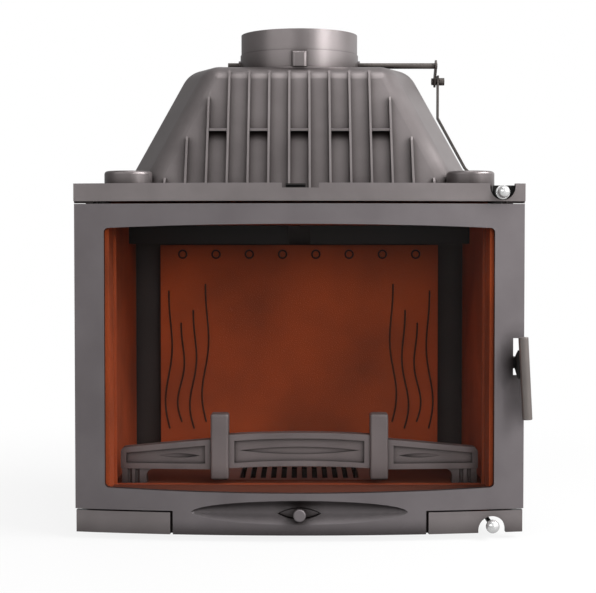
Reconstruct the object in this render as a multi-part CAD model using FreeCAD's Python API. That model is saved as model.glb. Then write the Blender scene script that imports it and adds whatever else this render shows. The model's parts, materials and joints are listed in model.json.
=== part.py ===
import FreeCAD, Part
import math
import os

V = FreeCAD.Vector
X_AXIS = V(1, 0, 0)
Y_AXIS = V(0, 1, 0)
Z_AXIS = V(0, 0, 1)

# Frame: modelling depth 0 is the plane of the lip ends; every solid is moved by FRONT_Y on export
FRONT_Y = -197.0

# Bowed front
HALF_WIDTH = 350.0
BOW_DEPTH = 35.0
BOW_RADIUS = (HALF_WIDTH ** 2 + BOW_DEPTH ** 2) / (2 * BOW_DEPTH)

# Clearances
RUN_CLEARANCE = 0.05
FACE_GAP = 0.4
DOOR_GAP = 4.0
STRIP_GAP = 4.0
STILE_GAP = 2.4

# Heights of the carcass
FOOT_H = 28.0
BASE_T = 9.0
BASE_TOP = FOOT_H + BASE_T
HEARTH_RISE = 37.0
HEARTH_TOP = BASE_TOP + HEARTH_RISE
HEARTH_T = 10.0
DECK_Z = 524.0
DECK_T = 8.0
DECK_TOP = DECK_Z + DECK_T
LIP_H = 27.5
LIP_TOP = DECK_Z + LIP_H
LIP_T = 12.0
HEEL_L = 30.0
HEEL_DROP = DOOR_GAP - 1.0

# Plan of the carcass
JAMB_Y = 65.0
JAMB_T = 10.0
JAMB_BACK = JAMB_Y + JAMB_T
JAMB_INSET = 10.0
JAMB_HALF = HALF_WIDTH - JAMB_INSET
JAMB_BAR = 48.0
MOUTH_HALF = JAMB_HALF - JAMB_BAR
MOUTH_DROP = 36.0
MOUTH_TOP = DECK_Z - MOUTH_DROP
WALL_T = 10.0
WALL_INSET = 21.0
WALL_OUT = JAMB_HALF - WALL_INSET
WALL_IN = WALL_OUT - WALL_T
WALL_RIB_PROUD = 10.0
WALL_RIB_T = 8.0
WALL_RIB_MARGIN = 30.0
WALL_RIB_COUNT = 4
REAR_RIB_COUNT = 5
FIREBOX_DEPTH = 335.0
REAR_Y = JAMB_BACK + FIREBOX_DEPTH
REAR_T = 12.0
REAR_BACK = REAR_Y + REAR_T
DECK_OVERHANG = 18.0
DECK_BACK = REAR_BACK + DECK_OVERHANG
DECK_INSET = 6.0
DECK_HALF = HALF_WIDTH - DECK_INSET

# Feet, tie rods and bottom corner strips
FOOT_R = 18.0
FOOT_INSET = 89.0
FOOT_X = WALL_OUT - FOOT_INSET
FOOT_FRONT_Y = JAMB_Y + 35.0
FOOT_REAR_Y = REAR_Y - 40.0
TIE_R = 4.0
TIE_INSET = 39.0
TIE_X = WALL_OUT - TIE_INSET
TIE_Y = DECK_BACK - 9.0
NUT_R = 7.0
NUT_H = 6.0
TONGUE_HALF = 195.5
STRIP_IN = TONGUE_HALF + STRIP_GAP
STRIP_OUT = HALF_WIDTH - 2.5
STRIP_LOW = 10.0
STRIP_H = 34.0
STRIP_TOP = STRIP_LOW + STRIP_H
STRIP_LAP = 8.0
STRIP_LAP_T = 4.0

# Firebox lining
LINER_T = 12.0
LINER_GAP = 34.0
LINER_TOP = DECK_Z - LINER_GAP
BACK_INSET = 59.0
BACK_HALF = WALL_IN - BACK_INSET
BACK_T = 12.0
BACK_GAP = 13.0
BACK_Y = REAR_Y - BACK_GAP - BACK_T
BACK_TOP = LINER_TOP - 34.0
RING_COUNT = 8
RING_EDGE = 40.0
RING_PITCH = 2 * (BACK_HALF - RING_EDGE) / (RING_COUNT - 1)
RING_MARK_R = 7.0
RING_MARK_Z = BACK_TOP - 16.6
LOW_HOLE_DROP = 114.0
LOW_HOLE_Z = BACK_TOP - LOW_HOLE_DROP
RAIL_H = 32.0
RAIL_LOW = LINER_TOP - RAIL_H
RAIL_T = 12.0
RAIL_FREE = 89.0
RAIL_Y0 = BACK_Y - RAIL_FREE
RAIL_Y1 = RAIL_Y0 + RAIL_T
RAIL_GAP = 19.0
BAFFLE_T = 10.0
BAFFLE_Y0 = JAMB_BACK + 55.0
BAFFLE_Y1 = RAIL_Y1 + 22.0
BAFFLE_GAP = 2.0

# Grate and ash pan
GRATE_HALF = 120.0
GRATE_DEPTH = 220.0
GRATE_Y0 = JAMB_BACK + 35.0
GRATE_Y1 = GRATE_Y0 + GRATE_DEPTH
GRATE_T = 5.0
GRATE_LEDGE = 12.0
GRATE_BORDER = 18.0
GRATE_SLOTS = 12
GRATE_SLOT_W = 9.0
PAN_T = 2.0
PAN_HALF = GRATE_HALF - 20.0
PAN_Y0 = GRATE_Y0 + 18.0
PAN_Y1 = GRATE_Y1 - 18.0
PAN_TOP = HEARTH_TOP - HEARTH_T - 3.0

# Door
DOOR_INSET = 1.0
DOOR_HALF = HALF_WIDTH - DOOR_INSET
DOOR_TOP = DECK_Z - DOOR_GAP
DOOR_BOTTOM = STRIP_TOP + STILE_GAP
DOOR_T = 10.0
TONGUE_BOTTOM = STRIP_LOW
PAD_HALF = TONGUE_HALF - 20.5
PAD_T = 24.0
PAD_LOW = TONGUE_BOTTOM + 12.0
STILE_W = 47.0
OPEN_HALF = DOOR_HALF - STILE_W
OPEN_TOP_SIDE = DOOR_TOP - 37.4
OPEN_TOP_MID = OPEN_TOP_SIDE + 6.3
OPEN_LOW_SIDE = DOOR_BOTTOM + 34.2
OPEN_LOW_MID = OPEN_LOW_SIDE - 5.9
OPEN_CORNER_R = 7.0
HINGE_INSET = 45.0
HINGE_X = HINGE_INSET - DOOR_HALF
HINGE_BEHIND = 10.66
HINGE_Y = BOW_RADIUS - BOW_DEPTH - math.sqrt(BOW_RADIUS ** 2 - HINGE_X ** 2) + DOOR_T + HINGE_BEHIND
HINGE_PIN_R = 5.0
HINGE_HEAD_R = HINGE_PIN_R + 2.0
HINGE_HEAD_T = 3.0
BUSH_R = 7.5
HINGE_BOSS_R = 11.0
HINGE_PAD = 3.0
GASKET_T = 2.0
GLASS_T = 4.0
GLASS_LAP = 4.0
GLASS_HALF = OPEN_HALF + GLASS_LAP
GLASS_LOW = OPEN_LOW_MID - GLASS_LAP
GLASS_TOP = OPEN_TOP_MID + GLASS_LAP
RING_WALL = 8.0
RING_OUT = OPEN_HALF + 2.0
RING_IN = RING_OUT - RING_WALL
RING_LOW = HEARTH_TOP - RING_WALL
RING_TOP = MOUTH_TOP + 10.0
RING_BACK = JAMB_Y - 5.0
EAR_T = 5.0
EAR_HALF = 9.0
EAR_X = RING_OUT + 12.0
EAR_LOW = RING_LOW + 74.0
EAR_HIGH = RING_TOP - 108.0
UPPER_BOSS_LOW = RING_TOP + 1.0
LOWER_BOSS_TOP = RING_LOW - 2.0

# Scoop and air valve in the tongue
EYE_HALF = TONGUE_HALF - 28.5
EYE_HALF_H = 19.0
EYE_Z = TONGUE_BOTTOM + 34.9
EYE_DEPTH = 13.0
EYE_DEEPEST = 0.4
EYE_RIM = 0.4
EYE_END_ANGLE = math.radians(86)
EYE_STATIONS = 16
EYE_STEPS = 6
VALVE_Z = EYE_Z - 2.4
LEAF_HALF = 30.5
LEAF_HALF_H = 7.3
LEAF_GAP = 1.6
LEAF_HOLE_HALF = LEAF_HALF + 2 * LEAF_GAP
LEAF_HOLE_HALF_H = LEAF_HALF_H + LEAF_GAP
VALVE_LEAF_Y = EYE_DEPTH - BOW_DEPTH
VALVE_LEAF_T = 5.0
VALVE_KNOB_R = 9.75
VALVE_KNOB_L = 11.0
VALVE_KNOB_Y = -BOW_DEPTH - 12.0
VALVE_STEM_R = 4.0
VALVE_GUIDE_Y = PAD_T - BOW_DEPTH + 15.0
VALVE_GUIDE_T = 4.0
VALVE_GUIDE_HALF = 50.0
VALVE_STROKE = 20.0
VALVE_STOP_T = 5.0
VALVE_STOP_Y = VALVE_GUIDE_Y + VALVE_GUIDE_T + VALVE_STROKE
VALVE_STEM_END = VALVE_STOP_Y + VALVE_STOP_T + 2.0

# Handle
PIVOT_Y = 10.0
PIVOT_Z = 273.0
PIVOT_R = 4.0
PIVOT_BOSS_R = 9.0
PIVOT_BOSS_L = 15.5
NOTCH_DEPTH = 17.5
NOTCH_X = DOOR_HALF - NOTCH_DEPTH
NOTCH_LOW = PIVOT_Z - 19.0
NOTCH_TOP = PIVOT_Z + 39.0
LEVER_X = NOTCH_X + 3.5
LEVER_T = 6.0
LEVER_END = LEVER_X + LEVER_T
ARM_ROOT_HALF = 7.0
ARM_GRIP_HALF = 22.0
NOSE_HALF = 7.0
NOSE_Y = JAMB_Y - 13.0
GRIP_R = 7.75
GRIP_LOW = PIVOT_Z - 85.0
GRIP_TOP = PIVOT_Z + 42.6
GRIP_MID_Y = -32.5
GRIP_MID_X = LEVER_X + 11.3
GRIP_TILT = 3.1
GRIP_FOOT_Y = GRIP_MID_Y + 4.0
GRIP_FOOT_T = 7.5
GRIP_SCREW_X = LEVER_X + 11.0
KEEPER_T = 8.0
KEEPER_X = LEVER_X - 3.0 - KEEPER_T
KEEPER_Y = JAMB_Y - 21.0
KEEPER_HALF = 12.0

# Dome
SPIGOT_R = 99.5
FLUE_R = SPIGOT_R + 1.5
FLUE_BORE = SPIGOT_R - 5.5
SEAT_R = FLUE_R + 3.0
SEAL_T = 2.0
DOME_Z = DECK_TOP + SEAL_T
DOME_H = 218.0
DOME_TOP = DOME_Z + DOME_H
DOME_WALL = 6.0
DOME_EDGE_R = 40.0
DOME_TOP_R = 45.0
DOME_SIDE_HALF = DECK_HALF - 53.0
DOME_FRONT_HALF = DOME_SIDE_HALF - 40.0
DOME_FRONT_Y = 37.0
DOME_SIDE_Y = DOME_FRONT_Y + 80.0
DOME_REAR_Y = DECK_BACK - 15.0
CROWN_IN = 106.0
CROWN_REAR_IN = 41.0
CROWN_MARGIN = 8.0
CROWN_DEPTH = 2 * (SEAT_R + CROWN_MARGIN)
CROWN_FRONT_IN = DOME_REAR_Y - CROWN_REAR_IN - CROWN_DEPTH - DOME_FRONT_Y
RIB_COUNT = 14
RIB_EDGE = 38.9
RIB_PITCH = 2 * (DOME_FRONT_HALF - RIB_EDGE) / (RIB_COUNT - 1)
RIB_T = 3.5
RIB_DEPTH = 16.0
RIB_TOP = DOME_TOP - 10.0
RIB_END_MARGIN = 25.0
WEB_Z = DOME_Z + 107.0
WEB_T = 4.0
BOSS_X = DOME_FRONT_HALF + 18.0
BOSS_Y = DOME_FRONT_Y + 3.0
BOSS_R = 37.5
BOSS_TOP = DOME_Z + 38.0
BOSS_ROUND = 5.0
GAS_HALF = DOME_FRONT_HALF - 26.0
GAS_Y0 = DOME_SIDE_Y + 8.0
GAS_Y1 = DOME_REAR_Y - 20.0
TAB_X = 3 * RIB_PITCH
TAB_FRONT_Y = DOME_FRONT_Y - 19.0
TAB_REAR_X = DOME_FRONT_HALF - 51.0
TAB_REAR_Y = DECK_BACK - 9.0
TAB_T = 8.0
TAB_HALF = 12.0
BOLT_R = 4.0
BOLT_HEAD_R = 7.0
BOLT_HEAD_H = 5.0

# Collar and damper
FLUE_Y = DOME_REAR_Y - CROWN_REAR_IN - CROWN_DEPTH / 2
SEAT_H = 30.0
COLLAR_STEP = DOME_TOP + 28.0
COLLAR_TOP = COLLAR_STEP + 34.7
LUG_H = 26.0
LUG_HALF = 13.0
LUG_OUT = FLUE_R + 7.0
LUG_ROUND = 6.0
STUD_R = 3.0
STUD_PLACE_R = FLUE_R - 1.0
STUD_RISE = 16.0
EAR_BOSS_R = 8.0
EAR_BOSS_OUT = FLUE_R + 3.0
SHAFT_Z = DOME_TOP + 12.0
SHAFT_R = 4.9
SHAFT_LEFT = -FLUE_R - 21.5
CRANK_FREE = 48.5
CRANK_X = DOME_SIDE_HALF - CROWN_IN + CRANK_FREE
CRANK_T = 3.0
SHAFT_RIGHT = CRANK_X + CRANK_T + 1.0
CRANK_ARM = 34.5
CRANK_R = 10.0
PIN_Y = FLUE_Y + CRANK_ARM * math.sin(math.radians(45))
PIN_Z = SHAFT_Z - CRANK_ARM * math.cos(math.radians(45))
PIN_R = 4.0
FLAP_R = FLUE_BORE - 5.0
FLAP_HALF = 50.0
FLAP_T = 3.0
FLAP_Z = SHAFT_Z + SHAFT_R - 1.0
FLAP_SCREW_X = 45.0
FLAP_SCREW_R = 2.5

# Pull rods and link
ROD_R = 3.5
DAMPER_ROD_X = HALF_WIDTH - 36.0
DAMPER_ROD_Z = DECK_TOP + 6.0
DAMPER_BALL_R = 9.3
DAMPER_DISC_R = 11.0
AIR_ROD_X = HALF_WIDTH - 51.0
AIR_ROD_Z = FOOT_H - 7.0
AIR_BALL_R = 10.5
AIR_DISC_R = 7.0
BALL_Y = -18.0
LINK_T = 3.0
LINK_W = 18.0
LINK_FREE = 0.8
LINK_UP_X = CRANK_X + 7.0
LINK_LOW_X = DAMPER_ROD_X - 10.0
LINK_BEND_Z = SHAFT_Z - 88.0
LINK_JOG = 16.0
LINK_FOOT = 17.0
STUB_Z = DECK_TOP + 24.0
STUB_R = 3.0
SLOT_HALF = 4.5
SLOT_DOWN = 3.5
SLOT_UP = 13.6
LIP_NOTCH_R = 20.0
LIP_NOTCH_Z = LIP_TOP - 5.5
STRIP_NOTCH_R = 21.5
STRIP_NOTCH_Z = STRIP_LOW + 4.0
MID_NOTCH_LEFT = -27.0
MID_NOTCH_RIGHT = 30.0
MID_NOTCH_H = 7.5
CLIP_LEFT = MID_NOTCH_LEFT + 6.0
CLIP_RIGHT = MID_NOTCH_RIGHT - 20.5
CLIP_TOP = LIP_TOP - 1.0
CLIP_T = 2.0

# Air slide under the base
SHUTTER_Z = FOOT_H - FACE_GAP
SHUTTER_T = 3.0
SHUTTER_X0 = AIR_ROD_X - 31.0
SHUTTER_X1 = AIR_ROD_X + 13.0
SHUTTER_Y0 = JAMB_Y + 91.0
SHUTTER_L = 126.0
SHUTTER_Y1 = SHUTTER_Y0 + SHUTTER_L
AIR_TRAVEL = 50.0
AIR_SLOT_COUNT = 3
AIR_SLOT_PITCH = 20.0
AIR_SLOT_W = 9.0
AIR_SLOT_MARGIN = 8.0
SLIDE_RAIL_T = 5.0

# Log guard
POST_X = 127.3
POST_W = 29.0
POST_LOW = HEARTH_TOP + 7.0
POST_TOP = HEARTH_TOP + 113.0
POST_ROUND = 4.0
POST_PROUD = 6.0
GUARD_Y = JAMB_Y - 5.0
GUARD_D = 24.0
GUARD_BOW = 16.0
GUARD_HALF = MOUTH_HALF - 5.0
ARM_IN_TOP = HEARTH_TOP + 73.0
ARM_OUT_TOP = HEARTH_TOP + 57.0
ARM_UNDER = HEARTH_TOP + 23.5
BAR_LOW = HEARTH_TOP + 25.0
BAR_TOP = HEARTH_TOP + 78.5
BAR_ARCH = 4.0
PANEL_EDGE = 9.0
PANEL_DEPTH = 5.0
LEAF_CUT = 3.0
BAR_LEAF_MARGIN = 7.5
BAR_LEAF_HALF_H = 6.0
ARM_LEAF_HALF = 33.0
ARM_LEAF_HALF_H = 3.5
CLAW_OUT = GUARD_HALF - 2.0
CLAW_IN = CLAW_OUT - 37.0
CLAW_FLARE = 3.0
CLAW_GROOVE_R = 3.5
CLAW_ARCH_R = 14.0
ARM_ROUND = 8.0


# Basic solids
def box(x0, x1, y0, y1, z0, z1):
    return Part.makeBox(x1 - x0, y1 - y0, z1 - z0, V(x0, y0, z0))


def rod_x(radius, x0, x1, y, z):
    return Part.makeCylinder(radius, x1 - x0, V(x0, y, z), X_AXIS)


def rod_y(radius, y0, y1, x, z):
    return Part.makeCylinder(radius, y1 - y0, V(x, y0, z), Y_AXIS)


def rod_z(radius, z0, z1, x, y):
    return Part.makeCylinder(radius, z1 - z0, V(x, y, z0), Z_AXIS)


def join(shapes):
    first = shapes[0]
    if len(shapes) == 1:
        return first
    return first.multiFuse(shapes[1:]).removeSplitter()


def cut(shape, tools):
    return shape.cut(tools[0] if len(tools) == 1 else Part.Compound(tools))


def flip_x(shape):
    return shape.mirror(V(0, 0, 0), X_AXIS)


def both_sides(shape):
    return [shape, flip_x(shape)]


def polygon_prism(points, direction):
    wire = Part.makePolygon(points + [points[0]])
    return Part.Face(wire).extrude(direction)


# Bowed solids: offset is measured inward from the bowed front
def bow(x, offset=0.0):
    radius = BOW_RADIUS - offset
    return BOW_RADIUS - BOW_DEPTH - math.sqrt(radius ** 2 - x ** 2)


def bow_arc(x0, x1, offset, z):
    middle = (x0 + x1) / 2
    ends = [V(x, bow(x, offset), z) for x in (x0, middle, x1)]
    return Part.Arc(*ends).toShape()


def bow_band(x0, x1, near, far, z0, z1):
    left = Part.makeLine(V(x0, bow(x0, near), z0), V(x0, bow(x0, far), z0))
    right = Part.makeLine(V(x1, bow(x1, near), z0), V(x1, bow(x1, far), z0))
    edges = [bow_arc(x0, x1, near, z0), right, bow_arc(x0, x1, far, z0), left]
    wire = Part.Wire(Part.__sortEdges__(edges))
    return Part.Face(wire).extrude(V(0, 0, z1 - z0))


def bow_block(x0, x1, near, back, z0, z1):
    left = Part.makeLine(V(x0, bow(x0, near), z0), V(x0, back, z0))
    right = Part.makeLine(V(x1, bow(x1, near), z0), V(x1, back, z0))
    rear = Part.makeLine(V(x0, back, z0), V(x1, back, z0))
    edges = [bow_arc(x0, x1, near, z0), right, rear, left]
    wire = Part.Wire(Part.__sortEdges__(edges))
    return Part.Face(wire).extrude(V(0, 0, z1 - z0))


def save(name, shape):
    shape = shape.copy()
    shape.translate(V(0, FRONT_Y, 0))
    shape.exportStep("parts/" + name + ".step")


# Carcass
def support_feet():
    places = [(x, y) for x in (-FOOT_X, FOOT_X) for y in (FOOT_FRONT_Y, FOOT_REAR_Y)]
    return Part.Compound([rod_z(FOOT_R, 0, FOOT_H, x, y) for x, y in places])


def air_slots(shift, z0, z1):
    first = SHUTTER_Y0 + 16 + shift
    starts = [first + i * AIR_SLOT_PITCH for i in range(AIR_SLOT_COUNT)]
    x0 = SHUTTER_X0 + AIR_SLOT_MARGIN
    x1 = SHUTTER_X1 - AIR_SLOT_MARGIN
    return [box(x0, x1, y, y + AIR_SLOT_W, z0, z1) for y in starts]


def tie_holes(z0, z1):
    return [rod_z(TIE_R, z0, z1, x, TIE_Y) for x in (-TIE_X, TIE_X)]


def base_plate():
    plate = box(-WALL_OUT, WALL_OUT, JAMB_Y, DECK_BACK, FOOT_H, BASE_TOP)
    return cut(plate, air_slots(0, 0, BASE_TOP + 1) + tie_holes(0, BASE_TOP + 1))


def side_wall():
    solids = [box(WALL_IN, WALL_OUT, JAMB_BACK, REAR_Y, BASE_TOP, DECK_Z)]
    pitch = FIREBOX_DEPTH / (WALL_RIB_COUNT + 1)
    for i in range(WALL_RIB_COUNT):
        y = JAMB_BACK + pitch * (i + 1)
        solids.append(box(WALL_OUT - 1, WALL_OUT + WALL_RIB_PROUD, y - WALL_RIB_T / 2, y + WALL_RIB_T / 2,
                          BASE_TOP + WALL_RIB_MARGIN, DECK_Z - WALL_RIB_MARGIN))
    return join(solids)


def rear_wall():
    solids = [box(-WALL_OUT, WALL_OUT, REAR_Y, REAR_BACK, BASE_TOP, DECK_Z)]
    pitch = 2 * WALL_OUT / (REAR_RIB_COUNT + 1)
    for i in range(REAR_RIB_COUNT):
        x = pitch * (i + 1) - WALL_OUT
        solids.append(box(x - WALL_RIB_T / 2, x + WALL_RIB_T / 2, REAR_BACK - 1, REAR_BACK + WALL_RIB_PROUD,
                          BASE_TOP + WALL_RIB_MARGIN, DECK_Z - WALL_RIB_MARGIN))
    return join(solids)


def front_frame():
    plate = box(-JAMB_HALF, JAMB_HALF, JAMB_Y, JAMB_BACK, BASE_TOP, DECK_Z)
    mouth = box(-MOUTH_HALF, MOUTH_HALF, JAMB_Y - 1, JAMB_BACK + 1, HEARTH_TOP, MOUTH_TOP)
    slot_half = TONGUE_HALF / 2
    slot = box(-slot_half, slot_half, JAMB_Y - 1, JAMB_BACK + 1, BASE_TOP + 8, HEARTH_TOP - HEARTH_T - 6)
    return cut(plate, [mouth, slot])


def corner_strip():
    strip = bow_band(STRIP_IN, STRIP_OUT, 0, LIP_T, STRIP_LOW, STRIP_TOP)
    ledge = bow_block(STRIP_IN, JAMB_HALF, LIP_T / 2, JAMB_Y, BASE_TOP, STRIP_TOP)
    lap = bow_band(TONGUE_HALF - STRIP_LAP, STRIP_IN + STRIP_LAP,
                   LIP_T, LIP_T + STRIP_LAP_T, STRIP_LOW, STRIP_TOP)
    return join([strip, ledge, lap])


def left_corner_strip():
    hole = rod_z(HINGE_PIN_R, STRIP_LOW, DECK_Z, HINGE_X, HINGE_Y)
    return cut(flip_x(corner_strip()), [hole])


def right_corner_strip():
    back = bow(AIR_ROD_X + STRIP_NOTCH_R, LIP_T)
    notch = join([rod_y(STRIP_NOTCH_R, -BOW_DEPTH, back, AIR_ROD_X, STRIP_NOTCH_Z),
                  box(AIR_ROD_X - STRIP_NOTCH_R, AIR_ROD_X + STRIP_NOTCH_R,
                      -BOW_DEPTH, back, 0, STRIP_NOTCH_Z)])
    return cut(corner_strip(), [notch])


def dome_bolt_places():
    front = [(x, TAB_FRONT_Y) for x in (-TAB_X, TAB_X)]
    rear = [(x, TAB_REAR_Y) for x in (-TAB_REAR_X, TAB_REAR_X)]
    return front + rear


def lip_notch():
    back = bow(DAMPER_ROD_X + LIP_NOTCH_R, LIP_T)
    round_part = rod_y(LIP_NOTCH_R, -BOW_DEPTH, back, DAMPER_ROD_X, LIP_NOTCH_Z)
    open_part = box(DAMPER_ROD_X - LIP_NOTCH_R, DAMPER_ROD_X + LIP_NOTCH_R,
                    -BOW_DEPTH, back, LIP_NOTCH_Z, LIP_TOP + 1)
    return join([round_part, open_part])


def top_plate():
    deck = bow_block(-DECK_HALF, DECK_HALF, LIP_T / 2, DECK_BACK, DECK_Z, DECK_TOP)
    lip = bow_band(-HALF_WIDTH, HALF_WIDTH, 0, LIP_T, DECK_Z, LIP_TOP)
    middle = box(MID_NOTCH_LEFT, MID_NOTCH_RIGHT, -BOW_DEPTH - 1, bow(MID_NOTCH_RIGHT, LIP_T),
                 LIP_TOP - MID_NOTCH_H, LIP_TOP + 1)
    heel = bow_band(HALF_WIDTH - HEEL_L, HALF_WIDTH, LIP_T / 2, LIP_T, DECK_Z - HEEL_DROP, DECK_Z + 1)
    gas = box(-GAS_HALF, GAS_HALF, GAS_Y0, GAS_Y1, DECK_Z - 1, DECK_TOP + 1)
    pin = rod_z(HINGE_PIN_R, DECK_Z - 1, DECK_TOP + 1, HINGE_X, HINGE_Y)
    bolts = [rod_z(BOLT_R, DECK_Z - 1, DECK_TOP + 1, x, y) for x, y in dome_bolt_places()]
    ties = tie_holes(DECK_Z - 1, DECK_TOP + 1)
    return cut(join([lip, deck] + both_sides(heel)), [lip_notch(), middle, gas, pin] + bolts + ties)


def tie_rods():
    rods = []
    for x in (-TIE_X, TIE_X):
        shank = rod_z(TIE_R, FOOT_H - NUT_H - 2, DECK_TOP + NUT_H + 2, x, TIE_Y)
        low_nut = rod_z(NUT_R, FOOT_H - NUT_H, FOOT_H, x, TIE_Y)
        top_nut = rod_z(NUT_R, DECK_TOP, DECK_TOP + NUT_H, x, TIE_Y)
        rods.append(join([shank, low_nut, top_nut]))
    return Part.Compound(rods)


def hinge_pins():
    upper = join([rod_z(HINGE_PIN_R, UPPER_BOSS_LOW + 1, DECK_TOP, HINGE_X, HINGE_Y),
                  rod_z(HINGE_HEAD_R, DECK_TOP, DECK_TOP + HINGE_HEAD_T, HINGE_X, HINGE_Y)])
    lower = join([rod_z(HINGE_PIN_R, BASE_TOP, LOWER_BOSS_TOP - 1, HINGE_X, HINGE_Y),
                  rod_z(HINGE_HEAD_R, BASE_TOP - HINGE_HEAD_T, BASE_TOP, HINGE_X, HINGE_Y)])
    return Part.Compound([upper, lower])


# Firebox
def side_liner():
    return box(WALL_IN - LINER_T, WALL_IN, JAMB_BACK, REAR_Y, HEARTH_TOP, LINER_TOP)


def fire_back_plate():
    plate = box(-BACK_HALF, BACK_HALF, BACK_Y, BACK_Y + BACK_T, HEARTH_TOP, BACK_TOP)
    spacer_x = BACK_HALF - 70
    spacers = [rod_y(10, BACK_Y + BACK_T, REAR_Y, x, z) for x in (-spacer_x, spacer_x)
               for z in (HEARTH_TOP + 66, BACK_TOP - 56)]
    ring_xs = [(i - (RING_COUNT - 1) / 2) * RING_PITCH for i in range(RING_COUNT)]
    rings = [rod_y(RING_MARK_R, BACK_Y - 1, BACK_Y + 1, x, RING_MARK_Z) for x in ring_xs]
    pips = [rod_y(RING_MARK_R / 2, BACK_Y, BACK_Y + 1, x, RING_MARK_Z) for x in ring_xs]
    hole_xs = [side * n * RING_PITCH for side in (-1, 1) for n in (2, 3)]
    holes = [rod_y(4, BACK_Y - 1, BACK_Y + 3, x, LOW_HOLE_Z) for x in hole_xs]
    return join([cut(join([plate] + spacers), rings + holes)] + pips)


def hearth_plate():
    plate = box(-WALL_IN, WALL_IN, JAMB_BACK, REAR_Y, HEARTH_TOP - HEARTH_T, HEARTH_TOP)
    rebate = box(-GRATE_HALF - FACE_GAP, GRATE_HALF + FACE_GAP, GRATE_Y0 - FACE_GAP, GRATE_Y1 + FACE_GAP,
                 HEARTH_TOP - GRATE_T, HEARTH_TOP + 1)
    well_half = GRATE_HALF - GRATE_LEDGE
    well = box(-well_half, well_half, GRATE_Y0 + GRATE_LEDGE, GRATE_Y1 - GRATE_LEDGE, 0, HEARTH_TOP)
    return cut(plate, [rebate, well])


def fire_grate():
    plate = box(-GRATE_HALF, GRATE_HALF, GRATE_Y0, GRATE_Y1, HEARTH_TOP - GRATE_T, HEARTH_TOP)
    pitch = 2 * (GRATE_HALF - GRATE_BORDER) / GRATE_SLOTS
    slots = []
    for i in range(GRATE_SLOTS):
        x = pitch * (i + 0.5) - GRATE_HALF + GRATE_BORDER
        slots.append(box(x - GRATE_SLOT_W / 2, x + GRATE_SLOT_W / 2,
                         GRATE_Y0 + GRATE_BORDER, GRATE_Y1 - GRATE_BORDER, 0, HEARTH_TOP + 1))
    return cut(plate, slots)


def ash_pan():
    shell = box(-PAN_HALF, PAN_HALF, PAN_Y0, PAN_Y1, BASE_TOP, PAN_TOP)
    hollow = box(PAN_T - PAN_HALF, PAN_HALF - PAN_T,
                 PAN_Y0 + PAN_T, PAN_Y1 - PAN_T, BASE_TOP + PAN_T, PAN_TOP + 1)
    return cut(shell, [hollow])


def baffle_rails():
    bar = box(RAIL_GAP, WALL_IN - LINER_T, RAIL_Y0, RAIL_Y1, RAIL_LOW, LINER_TOP)
    return Part.Compound(both_sides(bar))


def baffle_plates():
    plate = box(BAFFLE_GAP, WALL_IN - BAFFLE_GAP, BAFFLE_Y0, BAFFLE_Y1, LINER_TOP, LINER_TOP + BAFFLE_T)
    return Part.Compound(both_sides(plate))


# Smoke dome
def dome_outline(inset):
    front = DOME_FRONT_Y + inset
    side = DOME_SIDE_Y + inset / 2
    rear = DOME_REAR_Y - inset
    right = [(DOME_FRONT_HALF - inset, front),
             (DOME_SIDE_HALF - inset, side),
             (DOME_SIDE_HALF - inset, rear)]
    left = [(-x, y) for x, y in right[::-1]]
    return right + left


def dome_shell(inset, top_z, edge_r, top_r):
    low = dome_outline(inset)
    share = (top_z - DOME_Z) / DOME_H
    high = []
    for x, y in low:
        move = -CROWN_REAR_IN if y > FLUE_Y else CROWN_FRONT_IN
        high.append((x - math.copysign(CROWN_IN * share, x), y + move * share))
    bottom = Part.makePolygon([V(x, y, DOME_Z) for x, y in low + low[:1]])
    crown = Part.makePolygon([V(x, y, top_z) for x, y in high + high[:1]])
    solid = Part.makeLoft([bottom, crown], True, True)
    slanted = [e for e in solid.Edges if e.BoundBox.ZLength > 1]
    solid = solid.makeFillet(edge_r, slanted)
    rim = [e for e in solid.Edges if e.BoundBox.ZMin > top_z - 0.01]
    return solid.makeFillet(top_r, rim)


def face_y(z):
    return DOME_FRONT_Y + CROWN_FRONT_IN * (z - DOME_Z) / DOME_H


def rib_top(x):
    reach = DOME_FRONT_HALF - RIB_END_MARGIN - abs(x)
    return min(RIB_TOP, DOME_Z + reach * DOME_H / CROWN_IN)


def dome_rib(x):
    top = rib_top(x)
    inside = DOME_WALL / 2
    nose = 6.0
    points = [(face_y(DOME_Z) - RIB_DEPTH, DOME_Z), (face_y(top) - RIB_DEPTH, top - nose),
              (face_y(top) - RIB_DEPTH + nose, top), (face_y(top) + inside, top - 1),
              (face_y(DOME_Z) + inside, DOME_Z)]
    return polygon_prism([V(x - RIB_T / 2, y, z) for y, z in points], V(RIB_T, 0, 0))


def rib_x(index):
    return (index - (RIB_COUNT - 1) / 2) * RIB_PITCH


def dome_web(index):
    front = face_y(WEB_Z) - RIB_DEPTH + 3
    back = face_y(WEB_Z) + DOME_WALL / 2
    return box(rib_x(index), rib_x(index + 1), front, back, WEB_Z - WEB_T / 2, WEB_Z + WEB_T / 2)


def dome_tabs():
    tabs = []
    for x in (-TAB_X, TAB_X):
        tabs.append(box(x - TAB_HALF, x + TAB_HALF, TAB_FRONT_Y - 10, DOME_FRONT_Y + 8,
                        DOME_Z, DOME_Z + TAB_T))
    for x in (-TAB_REAR_X, TAB_REAR_X):
        tabs.append(box(x - TAB_HALF, x + TAB_HALF, DOME_REAR_Y - 6, DECK_BACK - 1, DOME_Z, DOME_Z + TAB_T))
    return tabs


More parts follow.
